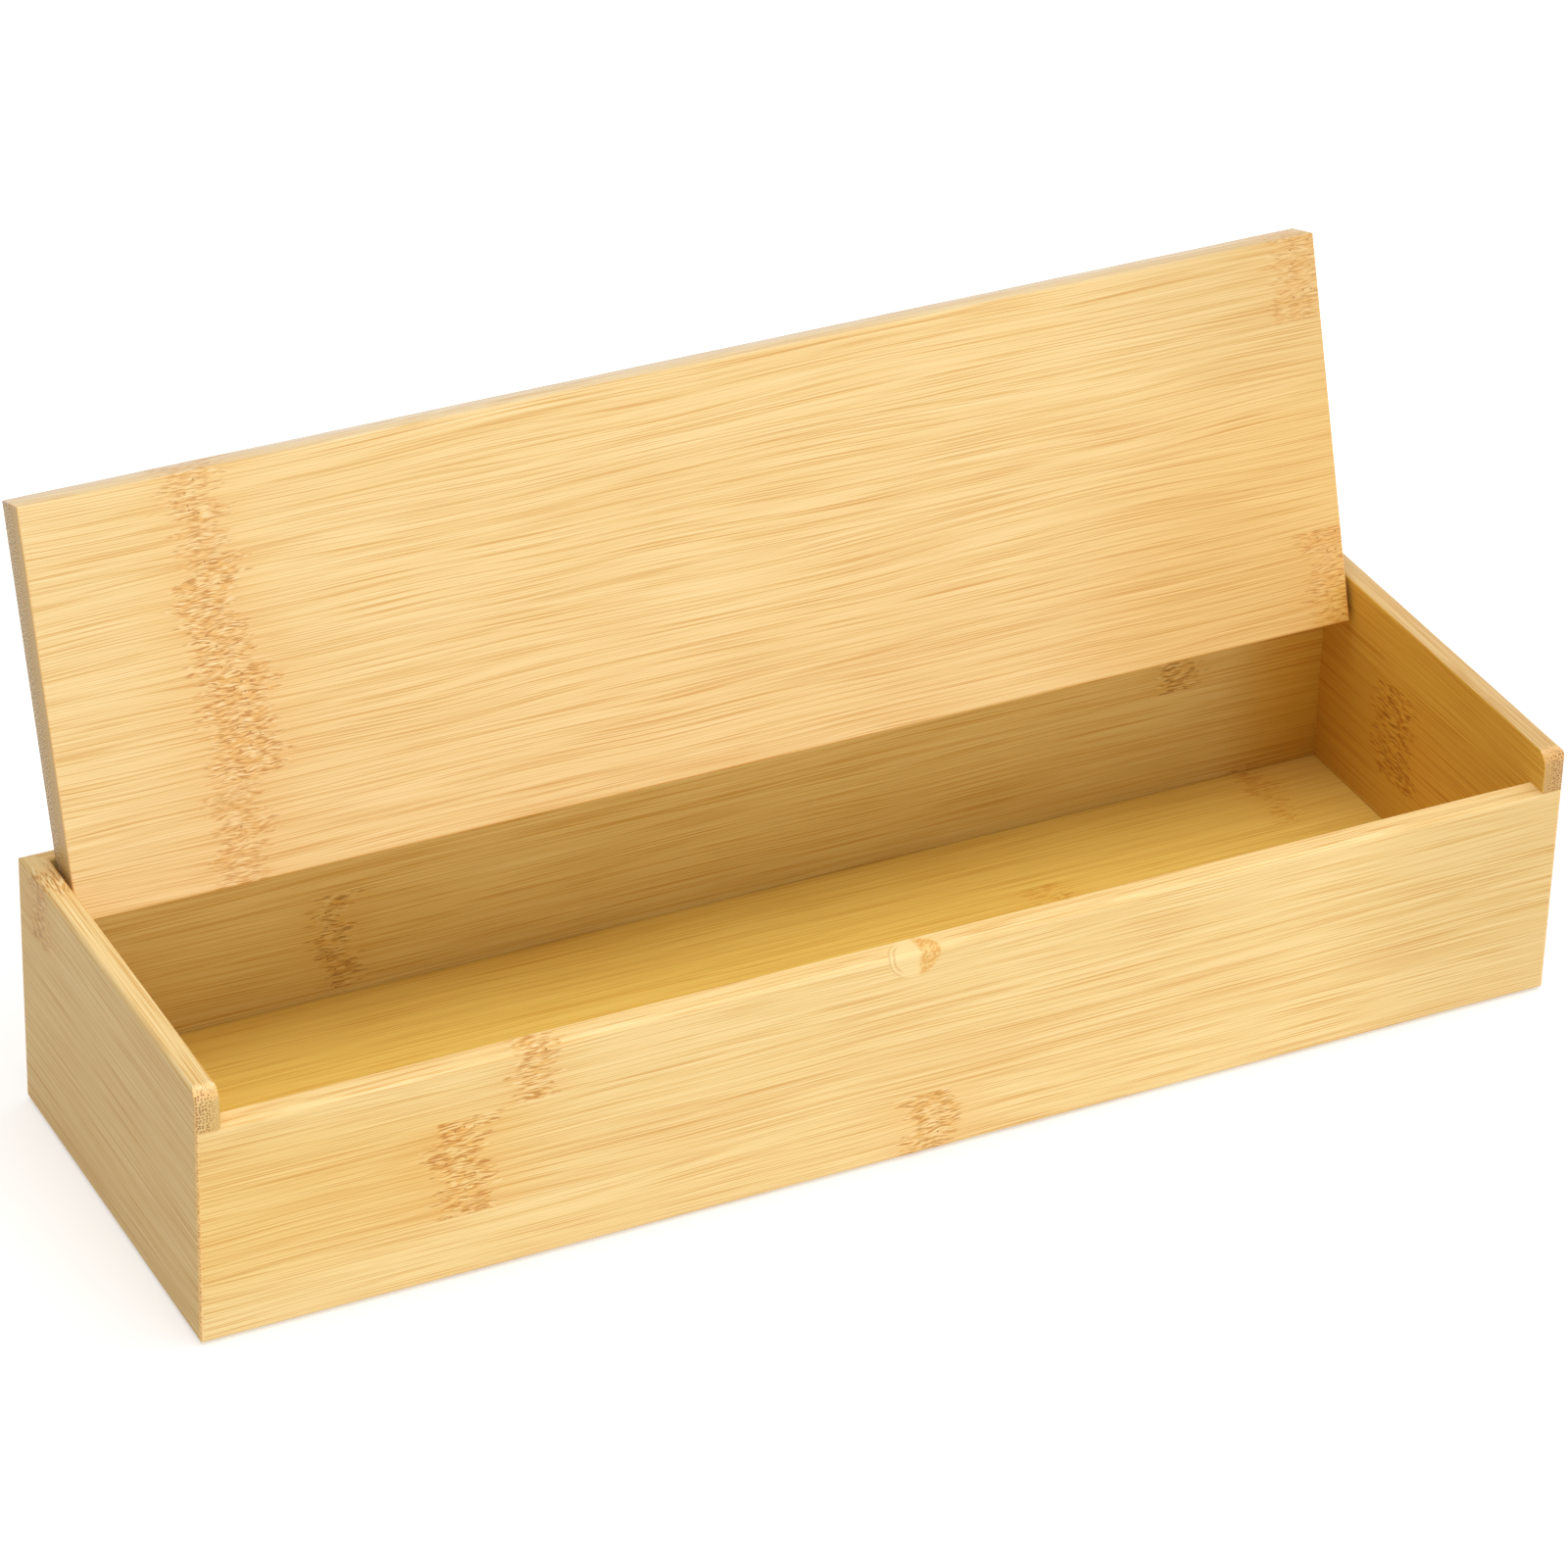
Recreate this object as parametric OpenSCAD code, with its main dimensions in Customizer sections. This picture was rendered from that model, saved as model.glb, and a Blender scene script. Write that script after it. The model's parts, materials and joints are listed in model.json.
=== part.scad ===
// Chopstick box with a lid that flips up between its end panels.
// Millimetres. X runs along the box, Y to the back and Z up.
// The origin is the centre of the underside, and the lid is drawn open.

/* [Box] */
// Outside length of the box
box_length = 300; // [240:1:360]
// Outside depth of the box, from front to back
box_depth = 92; // [80:1:130]
// Height of the end panels and the back panel
box_height = 58; // [40:0.5:90]

/* [Boards] */
// Thickness of the two end panels
end_thickness = 5; // [4:0.1:8]
// Thickness of the front panel
front_thickness = 5; // [4:0.1:8]
// Thickness of the back panel
back_thickness = 5; // [4:0.1:8]
// Thickness of the bottom panel
bottom_thickness = 5; // [3:0.1:6]
// Height of the bottom panel's underside above the table
bottom_rise = 4.5; // [3:0.1:10]

/* [Groove for the bottom panel] */
// Depth of the groove in each wall
groove_depth = 2.5; // [1.5:0.1:3]
// Gap between the bottom panel's edge and the end of the groove
groove_end_gap = 0.2; // [0.1:0.05:0.5]
// Gap above the bottom panel in the groove
groove_top_gap = 0.1; // [0.05:0.05:0.3]

/* [Lid] */
// Thickness of the lid
lid_thickness = 8.5; // [7:0.1:10]
// How far the closed lid lies below the end panels' tops
lid_sink = 0.3; // [0:0.1:2]
// Gap between the lid and each end panel
lid_end_gap = 1; // [0.4:0.05:2]
// Ledge of the front panel left bare in front of the closed lid
lid_setback = 2.4; // [0:0.1:3]
// Gap under the closed lid, above the front panel
lid_rest_gap = 0.2; // [0.1:0.05:0.5]
// Radius of the lid's upper rear edge, which passes the back panel
lid_rear_radius = 4; // [3:0.1:4.2]

/* [Hinge] */
// Distance of the pins from the lid's rear edge
pivot_inset = 5.5; // [4.5:0.1:8]
// Room between the turning rear edge and the back panel
swing_clearance = 0.5; // [0.3:0.05:1.5]
// Gap between the open lid and the back panel's top edge
lean_gap = 0.2; // [0.1:0.05:0.5]
// Diameter of the hinge pins
pin_diameter = 3; // [2:0.1:4]
// Length of each pin inside the lid
pin_grip = 10; // [6:0.5:20]
// Wood left between a pin and the outside of its end panel
pin_cover = 1.5; // [1:0.1:2.5]
// Gap past the pin's end in the lid's hole
pin_end_gap = 0.5; // [0.2:0.1:2]
// Running clearance round a pin in the lid, on the radius
pin_running_gap = 0.05; // [0.02:0.01:0.1]
// Chamfer on the pins' ends
pin_chamfer = 0.3; // [0.1:0.1:0.6]

/* [Edges] */
// Radius of the end panels' top front corners
lip_radius = 3.5; // [1:0.1:4]
// Radius of the top rear corner, across the back
rear_radius = 3; // [1:0.1:3.4]
// Radius of the edges round the underside
foot_radius = 1.5; // [0.5:0.1:2.5]
// Radius of the upright corners
corner_radius = 1; // [0.3:0.1:2]
// Radius of the end panels' outer top edges
end_top_radius = 1.2; // [0.5:0.1:2]
// Radius of the front panel's top front edge
front_top_radius = 1.2; // [0.5:0.1:2]
// Radius of the sanded inner and lid edges
sanded_radius = 0.5; // [0.2:0.1:0.5]

/* [Hidden] */
$fn = 64;
// How far a cutter runs past what it cuts
over = 1;

half_length = box_length / 2;
half_depth = box_depth / 2;
inner_half_length = half_length - end_thickness;
inner_front_y = front_thickness - half_depth;
inner_back_y = half_depth - back_thickness;

// The closed lid rests on the front panel, between the end panels
front_height = box_height - lid_sink - lid_thickness - lid_rest_gap;

// The lid turns about its mid-thickness, and its rear edge just passes the back panel
lid_half = lid_thickness / 2;
rear_arc_reach = norm([pivot_inset - lid_rear_radius, lid_half - lid_rear_radius]) + lid_rear_radius;
swing_radius = max(pivot_inset, rear_arc_reach);
pivot_y = inner_back_y - swing_clearance - swing_radius;
pivot_z = front_height + lid_rest_gap + lid_half;
lid_length = 2 * (inner_half_length - lid_end_gap);
lid_width = pivot_y + pivot_inset + half_depth - lid_setback;

// The open lid stops where its outer face meets the rounded inner edge of the back panel's top
lean_centre = [inner_back_y + sanded_radius - pivot_y, box_height - sanded_radius - pivot_z];
lean_reach = lid_half + sanded_radius + lean_gap;
lean_angle = acos(lean_reach / norm(lean_centre)) - atan2(lean_centre[1], lean_centre[0]);
open_angle = 90 + lean_angle;

pin_radius = pin_diameter / 2;
pin_seat = end_thickness - pin_cover;
pin_length = pin_seat + lid_end_gap + pin_grip;

bamboo_front = "#F0CE86";
bamboo_end = "#E3BE80";
bamboo_back = "#E6C07C";
bamboo_bottom = "#E2B96A";
bamboo_lid = "#F6D396";
pin_steel = "#B9BCC0";

// A rectangle from the origin, with one radius for each corner: near-left, near-right, far-right, far-left
module board_section(size, radii) {
    difference() {
        square(size);
        corner_waste(radii[0]);
        translate([size[0], 0]) mirror([1, 0]) corner_waste(radii[1]);
        translate(size) rotate(180) corner_waste(radii[2]);
        translate([0, size[1]]) mirror([0, 1]) corner_waste(radii[3]);
    }
}

// What a rounded corner of radius r loses
module corner_waste(r) {
    difference() {
        translate([-over, -over]) square(r + over);
        translate([r, r]) circle(r);
    }
}

// Extrudes a Y-Z section along X, about the middle
module along_x(length) {
    rotate([90, 0, 90]) linear_extrude(length, center = true) children();
}

// Extrudes an X-Z section along Y, about the middle
module along_y(length) {
    rotate([90, 0, 0]) linear_extrude(length, center = true) children();
}

// The sanded outside of the assembled box, which every wall is cut from
module outside() {
    intersection() {
        along_x(box_length)
            translate([-half_depth, 0])
            board_section([box_depth, box_height], [foot_radius, foot_radius, rear_radius, lip_radius]);
        along_y(box_depth)
            translate([-half_length, 0])
            board_section([box_length, box_height], [foot_radius, foot_radius, end_top_radius, end_top_radius]);
        linear_extrude(box_height)
            translate([-half_length, -half_depth])
            board_section([box_length, box_depth], [corner_radius, corner_radius, corner_radius, corner_radius]);
    }
}

// Plan of a wall that is mitred at both ends: outer face at y = outer, inner face at y = inner
module mitred_plan(outer, inner) {
    polygon([
        [-half_length, outer],
        [half_length, outer],
        [inner_half_length, inner],
        [-inner_half_length, inner]
    ]);
}

// The space of the groove that runs round inside the four walls
module groove() {
    translate([
        -inner_half_length - groove_depth,
        inner_front_y - groove_depth,
        bottom_rise
    ])
        cube([
            2 * (inner_half_length + groove_depth),
            inner_back_y - inner_front_y + 2 * groove_depth,
            bottom_thickness + groove_top_gap
        ]);
}

// The blind hole for a pin in the right end panel
module pin_seat_hole() {
    translate([inner_half_length - over, pivot_y, pivot_z])
        rotate([0, 90, 0])
        cylinder(r = pin_radius, h = pin_seat + over);
}

module right_end_board() {
    difference() {
        intersection() {
            outside();
            along_y(box_depth)
                translate([inner_half_length, 0])
                board_section([end_thickness, box_height], [0, foot_radius, end_top_radius, sanded_radius]);
        }
        linear_extrude(front_height) mitred_plan(-half_depth, inner_front_y);
        translate([0, 0, -over]) linear_extrude(box_height + 2 * over) mitred_plan(half_depth, inner_back_y);
        groove();
        pin_seat_hole();
    }
}

module right_end_panel() {
    color(bamboo_end) right_end_board();
}

module left_end_panel() {
    color(bamboo_end) mirror([1, 0, 0]) right_end_board();
}

module front_panel() {
    color(bamboo_front)
    difference() {
        intersection() {
            outside();
            linear_extrude(front_height) mitred_plan(-half_depth, inner_front_y);
            along_x(box_length)
                translate([-half_depth, 0])
                board_section([front_thickness, front_height], [foot_radius, 0, sanded_radius, front_top_radius]);
        }
        groove();
    }
}

module back_panel() {
    color(bamboo_back)
    difference() {
        intersection() {
            outside();
            linear_extrude(box_height) mitred_plan(half_depth, inner_back_y);
            along_x(box_length)
                translate([inner_back_y, 0])
                board_section([back_thickness, box_height], [0, foot_radius, rear_radius, sanded_radius]);
        }
        groove();
    }
}

module bottom_panel() {
    color(bamboo_bottom)
    translate([
        -inner_half_length - groove_depth + groove_end_gap,
        inner_front_y - groove_depth + groove_end_gap,
        bottom_rise
    ])
        cube([
            2 * (inner_half_length + groove_depth - groove_end_gap),
            inner_back_y - inner_front_y + 2 * (groove_depth - groove_end_gap),
            bottom_thickness
        ]);
}

// The lid lying closed, with the pivot line on the X axis
module lid_board() {
    sanded = [sanded_radius, sanded_radius, sanded_radius, sanded_radius];
    difference() {
        intersection() {
            along_x(lid_length)
                translate([pivot_inset - lid_width, -lid_half])
                board_section(
                    [lid_width, lid_thickness],
                    [sanded_radius, sanded_radius, lid_rear_radius, sanded_radius]
                );
            along_y(2 * lid_width)
                translate([-lid_length / 2, -lid_half])
                board_section([lid_length, lid_thickness], sanded);
            translate([-lid_length / 2, pivot_inset - lid_width, -lid_half])
                linear_extrude(lid_thickness)
                board_section([lid_length, lid_width], sanded);
        }
        for (side = [-1, 1])
            translate([side * (lid_length / 2 - pin_grip - pin_end_gap), 0, 0])
                rotate([0, side * 90, 0])
                cylinder(r = pin_radius + pin_running_gap, h = pin_grip + pin_end_gap + over);
    }
}

module lid_panel() {
    color(bamboo_lid)
    translate([0, pivot_y, pivot_z])
        rotate([-open_angle, 0, 0])
        lid_board();
}

// A dowel pin along +X from the origin
module dowel_pin() {
    rotate([0, 90, 0]) {
        cylinder(r1 = pin_radius - pin_chamfer, r2 = pin_radius, h = pin_chamfer);
        translate([0, 0, pin_chamfer])
            cylinder(r = pin_radius, h = pin_length - 2 * pin_chamfer);
        translate([0, 0, pin_length - pin_chamfer])
            cylinder(r1 = pin_radius, r2 = pin_radius - pin_chamfer, h = pin_chamfer);
    }
}

module right_hinge_pin() {
    color(pin_steel)
    translate([lid_length / 2 - pin_grip, pivot_y, pivot_z]) dowel_pin();
}

module left_hinge_pin() {
    color(pin_steel)
    mirror([1, 0, 0])
    translate([lid_length / 2 - pin_grip, pivot_y, pivot_z]) dowel_pin();
}

left_end_panel();
right_end_panel();
front_panel();
back_panel();
bottom_panel();
lid_panel();
left_hinge_pin();
right_hinge_pin();
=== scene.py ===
import json
import math

import bpy
from mathutils import Euler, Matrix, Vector

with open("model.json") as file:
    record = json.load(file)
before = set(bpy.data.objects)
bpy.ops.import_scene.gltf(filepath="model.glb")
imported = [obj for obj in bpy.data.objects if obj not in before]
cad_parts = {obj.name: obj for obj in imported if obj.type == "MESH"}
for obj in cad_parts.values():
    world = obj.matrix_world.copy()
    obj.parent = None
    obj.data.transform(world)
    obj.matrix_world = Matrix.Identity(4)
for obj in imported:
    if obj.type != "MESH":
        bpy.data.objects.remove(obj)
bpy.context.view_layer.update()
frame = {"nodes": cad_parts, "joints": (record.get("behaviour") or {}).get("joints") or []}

print("frame loaded:", ", ".join(sorted(frame["nodes"])))

millimetre = 0.001
white = (1, 1, 1, 1)
hinge = next(joint for joint in frame["joints"] if joint["name"] == "lid_flip")


# A paint chart's red, green and blue, 0 to 255, as the linear colour that a socket takes
def fromChart(red, green, blue):
    def linear(value):
        share = value / 255
        return share / 12.92 if share <= 0.04045 else ((share + 0.055) / 1.055) ** 2.4

    return (linear(red), linear(green), linear(blue), 1)


# A number in a material's tree: the operators and maths() add Math nodes
class Wire:
    def __init__(self, finish, socket):
        self.finish = finish
        self.socket = socket

    def maths(self, operation, *others):
        values = dict(enumerate((self, *others)))
        return self.finish.node("ShaderNodeMath", {"operation": operation}, values)["Value"]

    def swapped(self, operation, other):
        return self.finish.node("ShaderNodeMath", {"operation": operation}, {0: other, 1: self})["Value"]

    def __add__(self, other):
        return self.maths("ADD", other)

    def __radd__(self, other):
        return self.swapped("ADD", other)

    def __sub__(self, other):
        return self.maths("SUBTRACT", other)

    def __rsub__(self, other):
        return self.swapped("SUBTRACT", other)

    def __mul__(self, other):
        return self.maths("MULTIPLY", other)

    def __rmul__(self, other):
        return self.swapped("MULTIPLY", other)

    def __truediv__(self, other):
        return self.maths("DIVIDE", other)

    # 0 up to low and 1 from high on, smooth between; with low above high it falls instead
    def rise(self, low, high):
        return self.finish.node(
            "ShaderNodeMapRange",
            {"interpolation_type": "SMOOTHSTEP"},
            {"Value": self, "From Min": low, "From Max": high},
        )["Result"]


# The node tree of a material or of the world
class Finish:
    def __init__(self, owner):
        owner.use_nodes = True
        self.owner = owner
        self.tree = owner.node_tree
        self.tree.nodes.clear()

    # Adds a node: its settings first, then a value or a link for each socket, by name or by number.
    # What comes back is its outputs, by name.
    def node(self, kind, settings=None, sockets=None):
        made = self.tree.nodes.new(kind)
        for setting, value in (settings or {}).items():
            setattr(made, setting, value)
        named = {socket.name: socket for socket in reversed(made.inputs) if socket.enabled}
        for key, value in (sockets or {}).items():
            socket = made.inputs[key] if isinstance(key, int) else named[key]
            if isinstance(value, Wire):
                self.tree.links.new(value.socket, socket)
            else:
                socket.default_value = value
        return {socket.name: Wire(self, socket) for socket in made.outputs if socket.enabled}

    # From colour a at 0 to colour b at 1
    def blend(self, share, a, b):
        return self.node(
            "ShaderNodeMix",
            {"data_type": "RGBA", "clamp_factor": True},
            {"Factor": share, "A": a, "B": b},
        )["Result"]

    # A colour times a tint, as far as share says
    def shade(self, share, colour, tone):
        return self.times(colour, self.blend(share, white, (*tone, 1)))

    # Two colours, channel by channel
    def times(self, a, b):
        settings = {"data_type": "RGBA", "blend_type": "MULTIPLY"}
        return self.node("ShaderNodeMix", settings, {"Factor": 1.0, "A": a, "B": b})["Result"]

    # Three numbers as a point
    def point(self, x, y, z=0):
        return self.node("ShaderNodeCombineXYZ", {}, {"X": x, "Y": y, "Z": z})["Vector"]

    # A point measured in cells of that size, moved aside so that no two patterns are the same
    def measured(self, point, size, shift):
        return self.node(
            "ShaderNodeVectorMath",
            {"operation": "MULTIPLY_ADD"},
            {0: point, 1: [1 / length for length in size], 2: [shift, shift * 1.7, shift * 2.3]},
        )["Vector"]

    # Clouds from 0 to 1 about 0.5, each so many millimetres along, across and through the board
    def clouds(self, point, size, detail, shift=0):
        sockets = {"Vector": self.measured(point, size, shift), "Scale": 1, "Detail": detail}
        return self.node("ShaderNodeTexNoise", {}, sockets)["Fac"]

    # Cells of that size in millimetres: distance from a cell's middle, and a random number for the cell
    def cells(self, point, size, shift, dimensions="3D", randomness=1.0):
        sockets = {"Vector": self.measured(point, size, shift), "Scale": 1, "Randomness": randomness}
        made = self.node("ShaderNodeTexVoronoi", {"voronoi_dimensions": dimensions}, sockets)
        luck = self.node("ShaderNodeSeparateColor", {}, {"Color": made["Color"]})["Red"]
        return made["Distance"], luck

    def finished(self, shader, output="ShaderNodeOutputMaterial"):
        self.node(output, {}, {"Surface": shader})
        return self.owner


# Bamboo, as all the boards share it. Tints multiply the wood's colour, and lengths are millimetres.
bamboo = {
    "stripWidth": 22.6,  # a board is glued from strips this wide
    "seamWidth": 0.16,
    "seamTint": (0.66, 0.50, 0.30),
    "driftSize": (90, 22, 22),  # sizes run along, across and through the board
    "bandSize": (200, 2.2, 2.2),
    "fibreSize": (66, 0.42, 0.42),
    "hatchSize": (34, 0.21, 0.21),
    "patchSize": (46, 17, 17),
    "scratchSize": (16, 0.3, 0.3),
    "fibreDark": (0.81, 0.62, 0.38),
    "fibrePale": (1.07, 1.12, 1.30),
    "streakDark": (0.88, 0.76, 0.56),
    "streakPale": (1.08, 1.13, 1.30),
    "raggedSize": (7, 0.8, 0.8),
    "raggedReach": 15,
    "swaySize": (60, 5, 5),
    "swayReach": 7,
    "blotchSize": (4.0, 2.2, 2.2),
    "dashSize": (2.6, 0.31, 0.31),
    "knuckleFleck": (1.06, 1.16, 1.45),
    "pitRoom": (2.1, 2.1, 2.1),
    "pit": (0.50, 0.30, 0.12),
    "scarPale": (1.06, 1.12, 1.24),
    "scarWarm": (0.99, 0.88, 0.66),
    "scarSpeckle": (0.84, 0.58, 0.28),
    "speckleSize": (0.75, 0.60, 0.60),
    "endHeart": (0.89, 0.81, 0.66),  # end grain on the cane's inner side, and under its skin
    "endSkin": (0.92, 0.86, 0.80),
    "endFibre": (0.38, 0.23, 0.10),
    "arrisHighlight": (1.16, 1.10, 1.13),  # painted highlight on the rounded edges beside the end grain
    "endDot": 0.62,  # spacing of the bundles' dots in the end grain
    "roughness": (0.42, 0.56),
    "fibreRelief": 0.02,
}


# One tint on another
def tint(first, second):
    return tuple(a * b for a, b in zip(first, second))


# The wood's colour times a tint
def tinted(wood, tone):
    return tuple(min(1, channel * share) for channel, share in zip(wood[:3], tone)) + (1,)


# 1 in the middle of an oval on the board, falling to 0 at its edge
def oval(u, v, place, half):
    sideways = (u - place[0]) / half[0]
    upwards = (v - place[1]) / half[1]
    return (sideways * sideways + upwards * upwards).rise(1, 0)


# Knuckles: where a strip crosses a joint of the cane, its fibres break up into short wavy dashes.
# The edge is ragged because every fibre has its own offset. Returns the body of the knuckles, its
# core and a wider, fainter surround.
def knuckleMasks(finish, board, point, u, strip):
    ragged = (finish.clouds(point, bamboo["raggedSize"], 1, 3.1) - 0.5) * bamboo["raggedReach"]
    sway = (finish.clouds(point, bamboo["swaySize"], 0, 8.3) - 0.5) * bamboo["swayReach"]
    body = None
    for index, place, half, strength in board["knuckles"]:
        here = strip.maths("COMPARE", index, 0.5) * strength
        offset = (u - place + sway) / half
        away = offset + ragged / half
        lump = ((1 - away * away) * 1.7).rise(0, 1) * here
        core = (1 - offset * offset * 5).maths("MAXIMUM", 0) * here
        spread = (1 - offset * offset * 0.12).maths("MAXIMUM", 0)
        spread = spread * spread * here
        if body is None:
            body, cores, halo = lump, core, spread
        else:
            body = body.maths("MAXIMUM", lump)
            cores = cores.maths("MAXIMUM", core)
            halo = halo.maths("MAXIMUM", spread)
    return body, cores, halo


# Where a branch left the cane: an oval with thin dark arcs at its left end, pale wood in the
# middle and an orange speckle at its right end
def budScar(finish, board, wood, still, axes, colour):
    scar = board["scar"]
    sideways = (axes["X"] - scar["place"][0]) / scar["half"][0]
    upwards = (axes["Y"] - scar["place"][1]) / scar["half"][1]
    inwards = (scar["depth"] - axes["Z"]).maths("MAXIMUM", 0) / scar["half"][1]
    upwards = upwards + inwards
    reach = (sideways * sideways + upwards * upwards).maths("SQRT")
    within = reach.rise(1.05, 0.95)
    arcs = (reach * 34).maths("SINE").rise(-0.4, 0.8) * reach.rise(0.62, 0.80) * sideways.rise(-0.35, -0.60)
    right = within * sideways.rise(0.10, 0.40)
    speckle = finish.clouds(still, bamboo["speckleSize"], 1, 23.9).rise(0.40, 0.60)
    colour = finish.blend((within - right) * 0.6, colour, tinted(wood, bamboo["scarPale"]))
    colour = finish.blend(within * arcs * 0.4, colour, tinted(wood, board["knuckleDash"]))
    colour = finish.blend(right * 0.7, colour, tinted(wood, bamboo["scarWarm"]))
    return finish.blend(right * speckle * 0.8, colour, tinted(wood, bamboo["scarSpeckle"]))


# A board of bamboo strips. u runs along the grain, v across the strips and w through the board.
def bambooFinish(board):
    finish = Finish(bpy.data.materials.new(board["node"] + "_bamboo"))
    seed = board["seed"]
    wood = fromChart(*board["wood"])
    coordinates = finish.node("ShaderNodeTexCoord")
    placed = finish.node(
        "ShaderNodeMapping",
        {"vector_type": "TEXTURE"},
        {
            "Vector": coordinates["Object"],
            "Location": board["origin"],
            "Rotation": [math.radians(turn) for turn in board["turn"]],
            "Scale": [millimetre] * 3,
        },
    )["Vector"]
    axes = finish.node("ShaderNodeSeparateXYZ", {}, {"Vector": placed})
    u, v, w = axes["X"], axes["Y"], axes["Z"]

    across = (v - board["firstSeam"]) / bamboo["stripWidth"]
    strip = across.maths("FLOOR")
    toSeam = (across.maths("FRACT") - 0.5).maths("ABSOLUTE")
    seam = toSeam.rise(0.5 - bamboo["seamWidth"] / bamboo["stripWidth"], 0.5)
    luck = finish.node("ShaderNodeTexWhiteNoise", {"noise_dimensions": "1D"}, {"W": strip + seed * 7.3})
    fortune = finish.node("ShaderNodeSeparateColor", {}, {"Color": luck["Color"]})

    # every strip is cut from another cane, so its pattern is taken from another depth
    depth = w + strip * 40 + seed * 300
    still = finish.point(u, v, depth)
    drift = (finish.clouds(still, bamboo["driftSize"], 1, 1.3) - 0.5) * board["wander"]
    point = finish.point(u, v + drift, depth)
    body, core, halo = knuckleMasks(finish, board, point, u, strip)
    quiet = (1 - body.maths("MINIMUM", 1) * 0.8) * (1 + halo * 0.8)
    if "busy" in board:
        quiet = quiet * (1 + oval(u, v, *board["busy"]) * 0.9)

    # the grain: broad bands, fibre bundles up to 40 mm long with pointed ends, and a fine hatching
    broad = finish.clouds(point, bamboo["bandSize"], 2, 5.1)
    fine = finish.clouds(point, bamboo["hatchSize"], 1, 0.7)
    away, kind = finish.cells(point, bamboo["fibreSize"], 2.2)
    fibre = away.rise(0.31, 0.15)
    patches = finish.clouds(still, bamboo["patchSize"], 1, 6.7)

    # strips, bands and patches differ a little in warmth
    warm = (patches - 0.5) * 0.5 + (broad - 0.5) * 0.68
    for index, tone in enumerate(board["stripTones"]):
        warm = warm + strip.maths("COMPARE", index, 0.5) * tone
    colour = finish.blend(warm.maths("MAXIMUM", 0), wood, tinted(wood, bamboo["streakDark"]))
    colour = finish.blend((0 - warm).maths("MAXIMUM", 0), colour, tinted(wood, bamboo["streakPale"]))
    darkWood = tinted(wood, bamboo["fibreDark"])
    paleWood = tinted(wood, bamboo["fibrePale"])
    colour = finish.blend(fibre * kind.rise(0.45, 1.0) * board["fibres"] * quiet, colour, darkWood)
    colour = finish.blend(fibre * kind.rise(0.36, 0.0) * board["glints"], colour, paleWood)
    colour = finish.blend(fine.rise(0.49, 0.75) * board["hatching"], colour, darkWood)
    colour = finish.blend(fine.rise(0.47, 0.25) * board["hatching"], colour, paleWood)

    # long thin lines that follow the edges of the bands, in some places only
    lines = ((broad * 13).maths("FRACT") - 0.5).maths("ABSOLUTE").rise(0.34, 0.48)
    lines = lines * patches.rise(0.40, 0.62) * quiet
    colour = finish.blend(lines * board["lines"], colour, darkWood)
    colour = finish.blend(seam * fortune["Green"] * 0.55, colour, tinted(wood, bamboo["seamTint"]))

    # knuckles: a warm surround, wavy brown dashes with pale flecks between, and small pits in the core
    blotches = finish.clouds(still, bamboo["blotchSize"], 0, 13.7)
    wavy = finish.point(u, v + drift + blotches * 1.1, depth)
    dashes = finish.clouds(wavy, bamboo["dashSize"], 1, 17.3)
    knuckleWood = tinted(wood, board["knuckleTint"])
    colour = finish.blend(halo * 0.34, colour, knuckleWood)
    colour = finish.blend(body * blotches.rise(0.38, 0.60) * 0.75, colour, knuckleWood)
    colour = finish.blend(body * dashes.rise(0.49, 0.62), colour, tinted(wood, board["knuckleDash"]))
    flecks = body * dashes.rise(0.46, 0.34)
    colour = finish.blend(flecks * 0.75, colour, tinted(wood, bamboo["knuckleFleck"]))
    middle, chance = finish.cells(still, bamboo["pitRoom"], 4.1, "2D")
    pits = middle.rise(0.15, 0.08) * chance.rise(0.66, 0.71) * core.rise(0.05, 0.3)
    colour = finish.blend(pits * 0.75, colour, tinted(wood, bamboo["pit"]))
    if "scar" in board:
        colour = budScar(finish, board, wood, still, axes, colour)

    # stains and painted shade: soft ovals with a tint of their own, on the high or the low side of the
    # board; some are the wood's own stains, others painted shade
    for place, half, side, tone in board["stainsAndShade"]:
        colour = finish.shade(oval(u, v, place, half) * (w * side).rise(-1, 1), colour, tone)

    # end grain: the same bundles, cut across, are brown dots, larger towards the cane's skin
    facing = finish.node(
        "ShaderNodeVectorMath",
        {"operation": "DOT_PRODUCT"},
        {0: coordinates["Normal"], 1: board["grainAxis"]},
    )["Value"].maths("ABSOLUTE")
    ends = facing.rise(0.35, 0.85)
    skin = w * board["skinSide"] / board["thickness"] + 0.5
    section = finish.point(v, depth)
    centre, size = finish.cells(section, (bamboo["endDot"], bamboo["endDot"], 1), 5.9, "2D", 0.6)
    dots = (centre + (1 - skin) * 0.10 + size * 0.05).rise(0.46, 0.30) * skin.rise(-0.2, 0.6)
    # on the lid the end tones also darken its left-facing end, a painted shade
    heartToneAndShade, skinToneAndShade = board["endTonesAndShade"]
    heart = tinted(wood, tint(bamboo["endHeart"], heartToneAndShade))
    cut = finish.blend(skin.rise(0.40, 0.85), heart, tinted(wood, tint(bamboo["endSkin"], skinToneAndShade)))
    cut = finish.blend(dots * 0.85, cut, tinted(wood, tint(bamboo["endFibre"], heartToneAndShade)))
    colour = finish.blend(ends, colour, cut)
    # painted highlight: the rounded edges between end grain and faces are lightened as if catching the
    # light
    arrisHighlight = facing.rise(0.15, 0.45) * facing.rise(0.97, 0.85)
    colour = finish.shade(arrisHighlight, colour, bamboo["arrisHighlight"])
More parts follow.
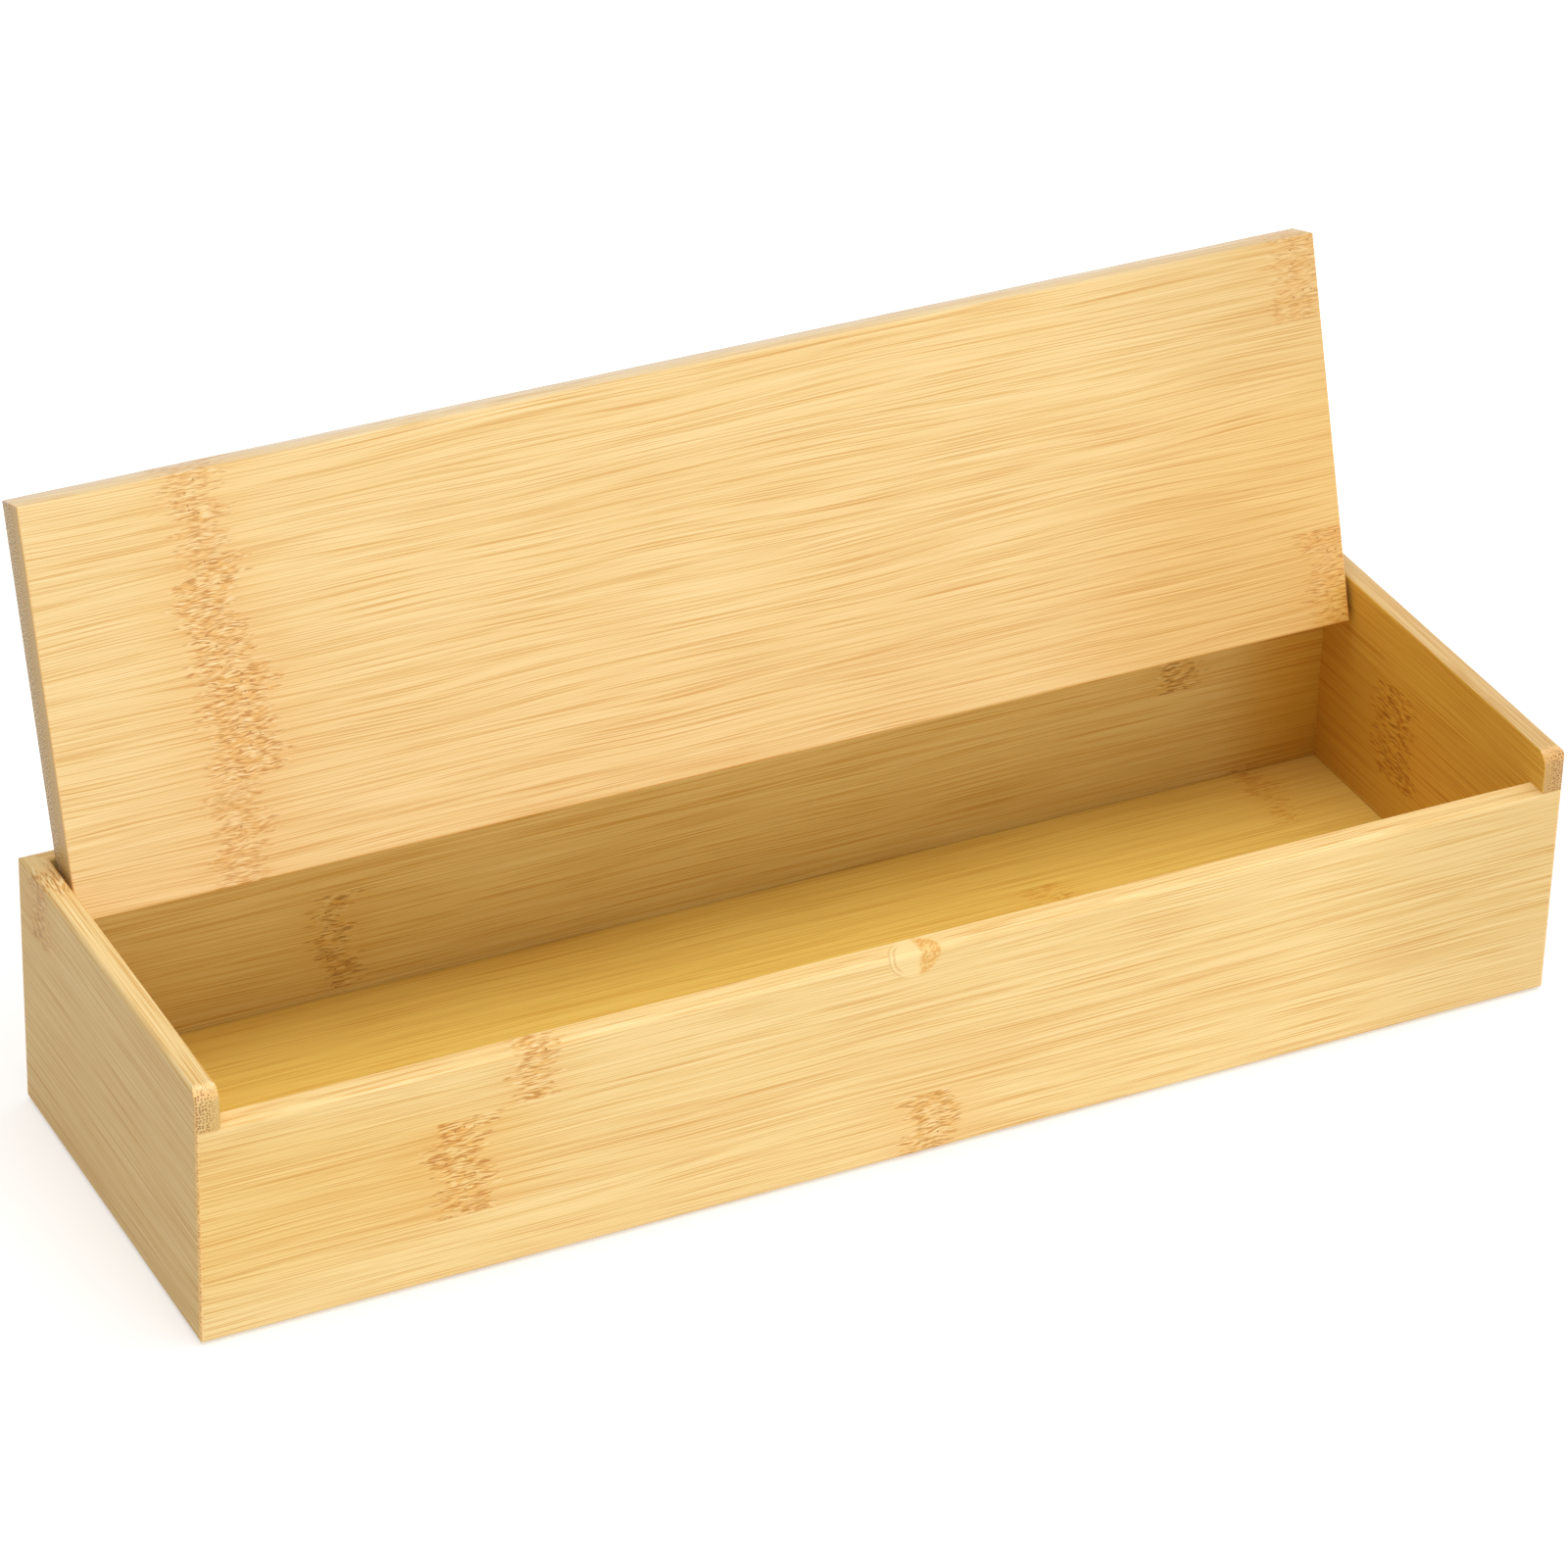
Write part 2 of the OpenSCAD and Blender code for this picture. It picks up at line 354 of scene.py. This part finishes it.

    # painted shade: each face of a board gets its own darkening tint, apart from its edges, for the shade
    # and warm bounce light on that side
    surface = board["thickness"] / 2
    high = w.rise(surface - 0.35, surface - 0.05)
    low = w.rise(0.35 - surface, 0.05 - surface)
    tone = finish.blend(high, white, (*board["highFaceShade"], 1))
    colour = finish.times(colour, finish.blend(low, tone, (*board["lowFaceShade"], 1)))
    # painted reflection: the lid's free edge is made bluer and less yellow, as if it reflected the white
    # surroundings
    if "freeEdgeSheen" in board:
        edge = board["freeEdgeSheen"]
        tone = finish.blend(w.rise(2, -3.5), (*edge["inner"], 1), (*edge["outer"], 1))
        colour = finish.times(colour, finish.blend(v.rise(*edge["from"]), white, tone))

    rough = bamboo["roughness"][0] + (bamboo["roughness"][1] - bamboo["roughness"][0]) * fine
    scratches = finish.clouds(still, bamboo["scratchSize"], 0, 19.1)
    relief = finish.node(
        "ShaderNodeBump",
        {},
        {"Strength": 0.3, "Distance": bamboo["fibreRelief"] * millimetre, "Height": scratches},
    )["Normal"]
    shader = finish.node(
        "ShaderNodeBsdfPrincipled",
        {},
        {"Base Color": colour, "Roughness": rough, "IOR": 1.45, "Normal": relief},
    )["BSDF"]
    return finish.finished(shader)


# What a board has unless its own dictionary says otherwise. Its wood is a paint-chart colour, and its
# high face is on the +w side. A stain or a patch of painted shade is (place, half width, side, tint) and a
# knuckle (strip, place along the grain, half width, strength). Strip tones make a strip warmer, or cooler
# below 0. The end tones are for the cane's inner side and for its skin side; the lid's hold painted shade.
plainBoard = {
    "thickness": 5,
    "skinSide": 1,
    "wander": 3,
    "lines": 0.24,
    "fibres": 0.75,
    "hatching": 1.5,
    "glints": 0.4,
    # painted shade and bounce light on a board's high and low faces, as tints
    "highFaceShade": (1, 1, 1),
    "lowFaceShade": (1, 1, 1),
    "endTonesAndShade": ((1, 1, 1), (1, 1, 1)),
    "knuckleTint": (0.93, 0.72, 0.44),
    "knuckleDash": (0.66, 0.42, 0.20),
    "stripTones": (),
    "stainsAndShade": [],
}
alongX = {**plainBoard, "turn": (90, 0, 0), "grainAxis": (1, 0, 0)}
alongY = {**plainBoard, "turn": (90, 0, 90), "grainAxis": (0, 1, 0)}

frontBoard = {
    **alongX,
    "node": "front_panel",
    "seed": 1,
    "origin": (0, -0.0435, 0),
    "firstSeam": -8.1,
    "wood": (249, 215, 146),
    # painted shade: the inner face darker and less blue
    "lowFaceShade": (0.84, 0.88, 0.72),
    "hatching": 1.3,
    "glints": 0.5,
    "stripTones": (-0.30, 0.16, 0.0),
    "stainsAndShade": [
        ((-145, 28), (85, 24), 1, (0.97, 0.91, 0.72)),
        # painted shade: darker towards the right end
        ((155, 24), (66, 54), 1, (0.90, 0.88, 0.84)),
    ],
    "busy": ((-145, 26), (105, 34)),  # where the grain is stronger
    "knuckles": [(0, 6, 6.5, 0.9), (1, -95, 6.5, 1), (2, -80, 4.5, 0.9)],
    # it runs over the top edge too, and there its height goes on inwards from the depth
    "scar": {"place": (1.2, 48.2), "half": (5.7, 5.0), "depth": 2.0},
}
backBoard = {
    **alongX,
    "node": "back_panel",
    "seed": 2,
    "origin": (0, 0.0435, 0),
    "skinSide": -1,
    "firstSeam": -11.2,
    "wood": (240, 203, 130),
    # painted shade: the inner face darker
    "highFaceShade": (0.85, 0.97, 0.98),
    "glints": 1.5,
    # painted shade and orange bounce light on the inner face by the right end
    "stainsAndShade": [((150, 28), (32, 70), 1, (0.88, 0.67, 0.22))],
    "knuckles": [(0, 129, 3, 0.6), (1, -85, 4.5, 0.9), (2, 110, 4.5, 1)],
    "knuckleDash": (0.55, 0.40, 0.26),
}
leftBoard = {
    **alongY,
    "node": "left_end_panel",
    "seed": 3,
    "origin": (-0.1475, 0, 0),
    "skinSide": -1,
    "firstSeam": -1.9,
    "wood": (243, 211, 146),
    # painted shade: the inner face darker and more yellow, the outer face darker
    "highFaceShade": (0.90, 0.86, 0.56),
    "lowFaceShade": (0.93, 0.87, 0.70),
    "endTonesAndShade": ((0.96, 0.95, 0.93), (0.96, 0.95, 0.93)),
    "wander": 2,
    "knuckles": [(2, 34, 5, 1.0)],
}
rightBoard = {
    **alongY,
    "node": "right_end_panel",
    "seed": 4,
    "origin": (0.1475, 0, 0),
    "firstSeam": -2.6,
    "wood": (220, 183, 120),
    # painted shade and warm bounce light: the inner face much less blue
    "lowFaceShade": (1.03, 0.93, 0.35),
    "endTonesAndShade": ((1.0, 0.98, 0.97), (1.0, 0.98, 0.97)),
    "wander": 2,
    # painted shade: the inner face darker in an oval low down towards the back
    "stainsAndShade": [((48, 8), (60, 52), -1, (0.88, 0.82, 0.64))],
    "knuckles": [(1, 10, 8, 1.0)],
    "knuckleTint": (0.98, 0.84, 0.64),
    "knuckleDash": (0.57, 0.38, 0.20),
}
bottomBoard = {
    **alongX,
    "node": "bottom_panel",
    "seed": 5,
    "origin": (0, 0, 0.007),
    "turn": (0, 0, 0),
    "firstSeam": -49,
    "wood": (235, 197, 113),
    # painted bounce light: the inner floor's face a little lighter and more yellow
    "highFaceShade": (1.03, 1.03, 0.72),
    "fibres": 0.68,
    "hatching": 1.0,
    "knuckles": [(1, -70, 5, 0.7), (2, 66, 5, 0.5), (3, 128, 3, 0.6)],
}
lidBoard = {
    **alongX,
    "node": "lid_panel",
    "seed": 6,
    "origin": hinge["pos_m"],
    "turn": (180 - hinge["range_deg"][1], 0, 0),
    "thickness": 8.5,
    "skinSide": -1,
    "firstSeam": -7,
    "wood": (247, 213, 146),
    # painted shade: the lid's left-facing end is darkened, and its skin side made greyer
    "endTonesAndShade": ((0.87, 0.87, 0.90), (0.90, 0.99, 1.32)),
    # painted reflection: the long edge away from the hinge is made less yellow, most of all on the lid's
    # outer side, for the sheen of the white surroundings
    "freeEdgeSheen": {"from": (78.0, 78.4), "inner": (0.94, 0.97, 1.10), "outer": (0.88, 1.0, 1.66)},
    "wander": 4,
    "fibres": 0.68,
    "hatching": 1.2,
    "glints": 0.5,
    "stainsAndShade": [
        # darker and warmer towards the lower right: painted shade together with the wood's warmer tone
        ((155, 12), (95, 60), 1, (0.93, 0.85, 0.66)),
        ((150, -4), (17, 15), 1, (1.0, 1.0, 0.74)),
        # painted shade: darker towards the upper right
        ((150, 80), (75, 44), 1, (0.90, 0.87, 0.82)),
    ],
    "knuckles": [
        (0, -108, 6, 0.7),
        (0, 142, 7, 0.7),
        (1, -105, 8, 1),
        (2, -108, 7, 1),
        (3, -108.5, 6, 0.75),
        (3, 139, 7, 0.55),
    ],
}
for board in (frontBoard, backBoard, leftBoard, rightBoard, bottomBoard, lidBoard):
    slots = frame["nodes"][board["node"]].data.materials
    slots.clear()
    slots.append(bambooFinish(board))
    print("finished in bamboo:", board["node"])


# Ground steel: fine rings from the grinding wheel, one after another along the pin
hingePins = {"nodes": ("left_hinge_pin", "right_hinge_pin"), "steel": (186, 190, 196), "ring": 0.12}


def steelFinish(pins):
    finish = Finish(bpy.data.materials.new("pin_steel"))
    place = finish.node("ShaderNodeTexCoord")["Object"]
    rings = finish.clouds(place, [pins["ring"] * millimetre, 1, 1], 3)
    steel = fromChart(*pins["steel"])
    colour = finish.blend(rings, tinted(steel, (0.8, 0.8, 0.8)), steel)
    shader = finish.node(
        "ShaderNodeBsdfPrincipled",
        {},
        {"Base Color": colour, "Metallic": 1.0, "Roughness": 0.24 + rings * 0.14},
    )["BSDF"]
    return finish.finished(shader)


steel = steelFinish(hingePins)
for name in hingePins["nodes"]:
    slots = frame["nodes"][name].data.materials
    slots.clear()
    slots.append(steel)
print("finished in steel:", ", ".join(hingePins["nodes"]))


# The camera looks at the aim from an azimuth and elevation, rolled a little, in degrees and metres
camera = {
    "aim": (0.0026, 0.0146, 0.0529),
    "azimuth": -27.36,
    "elevation": 31.75,
    "roll": 1.72,
    "distance": 1.3556,
    "lens": 154.26,
}


def addCamera(values):
    made = bpy.data.objects.new("camera", bpy.data.cameras.new("camera"))
    bpy.context.scene.collection.objects.link(made)
    turn = Euler([math.radians(90 - values["elevation"]), 0, math.radians(values["azimuth"])])
    matrix = turn.to_matrix().to_4x4()
    roll = Euler([0, 0, math.radians(values["roll"])]).to_matrix().to_4x4()
    back = matrix.to_3x3() @ Vector((0, 0, 1))
    made.rotation_euler = (matrix @ roll).to_euler()
    made.location = Vector(values["aim"]) + back * values["distance"]
    made.data.lens = values["lens"]
    made.data.sensor_width = 36
    made.data.clip_start = 0.05
    made.data.clip_end = 50
    bpy.context.scene.camera = made


addCamera(camera)

# A white floor and soft lamps. Lamps: size in metres, direction seen from the object, distance, watts.
studio = {
    "floorSize": 12,
    "floorDrop": 0.0002,  # the floor lies this much lower than the box stands
    "floorPaint": 0.80,
    "floorGlow": (0.42, 1.0),  # under the box, and from a step away on
    "glowReach": (0.15, 0.7),
    "skyLight": 0.40,
    "lamps": {
        "overhead": {"size": (1.6, 1.2), "from": (0, 0, 1), "distance": 1.7, "power": 14},
        "front": {"size": (1.4, 0.8), "from": (0.1, -1, 0.2), "distance": 1.7, "power": 11.5},
        "right": {"size": (1.2, 1.0), "from": (0.9, -0.1, 1.0), "distance": 1.7, "power": 4.5},
    },
}


# White where the camera or a reflection sees it, and a plain grey light for everything else
def seenDirectly(finish):
    path = finish.node("ShaderNodeLightPath")
    seen = path["Is Camera Ray"].maths("MAXIMUM", path["Is Glossy Ray"])
    return seen.maths("MAXIMUM", path["Is Transmission Ray"])


def addFloor(values):
    half = values["floorSize"] / 2
    mesh = bpy.data.meshes.new("floor")
    corners = [(-half, -half, 0), (half, -half, 0), (half, half, 0), (-half, half, 0)]
    mesh.from_pydata(corners, [], [(0, 1, 2, 3)])
    floor = bpy.data.objects.new("floor", mesh)
    bpy.context.scene.collection.objects.link(floor)
    floor.location.z = -values["floorDrop"]
    finish = Finish(bpy.data.materials.new("floor_white"))
    paint = values["floorPaint"]
    matt = finish.node("ShaderNodeBsdfDiffuse", {}, {"Color": (paint, paint, paint, 1)})["BSDF"]
    place = finish.node("ShaderNodeTexCoord")["Object"]
    away = finish.node("ShaderNodeVectorMath", {"operation": "LENGTH"}, {0: place})["Value"]
    near, far = values["floorGlow"]
    strength = seenDirectly(finish) * (near + away.rise(*values["glowReach"]) * (far - near))
    glow = finish.node("ShaderNodeEmission", {}, {"Color": white, "Strength": strength})["Emission"]
    both = finish.node("ShaderNodeAddShader", {}, {0: matt, 1: glow})["Shader"]
    mesh.materials.append(finish.finished(both))


def addWorld(values):
    world = bpy.data.worlds.new("studio")
    bpy.context.scene.world = world
    finish = Finish(world)
    seen = seenDirectly(finish)
    strength = values["skyLight"] + seen * (1 - values["skyLight"])
    light = finish.node("ShaderNodeBackground", {}, {"Color": white, "Strength": strength})["Background"]
    finish.finished(light, "ShaderNodeOutputWorld")


def addLamps(values):
    for name, lamp in values["lamps"].items():
        data = bpy.data.lights.new(name, "AREA")
        data.shape = "RECTANGLE"
        data.size, data.size_y = lamp["size"]
        data.energy = lamp["power"]
        made = bpy.data.objects.new(name, data)
        bpy.context.scene.collection.objects.link(made)
        direction = Vector(lamp["from"]).normalized()
        made.location = direction * lamp["distance"]
        made.rotation_euler = direction.to_track_quat("Z", "Y").to_euler()


addFloor(studio)
addWorld(studio)
addLamps(studio)
bpy.context.scene.view_settings.view_transform = "Standard"
print("camera, floor and lamps are in place")
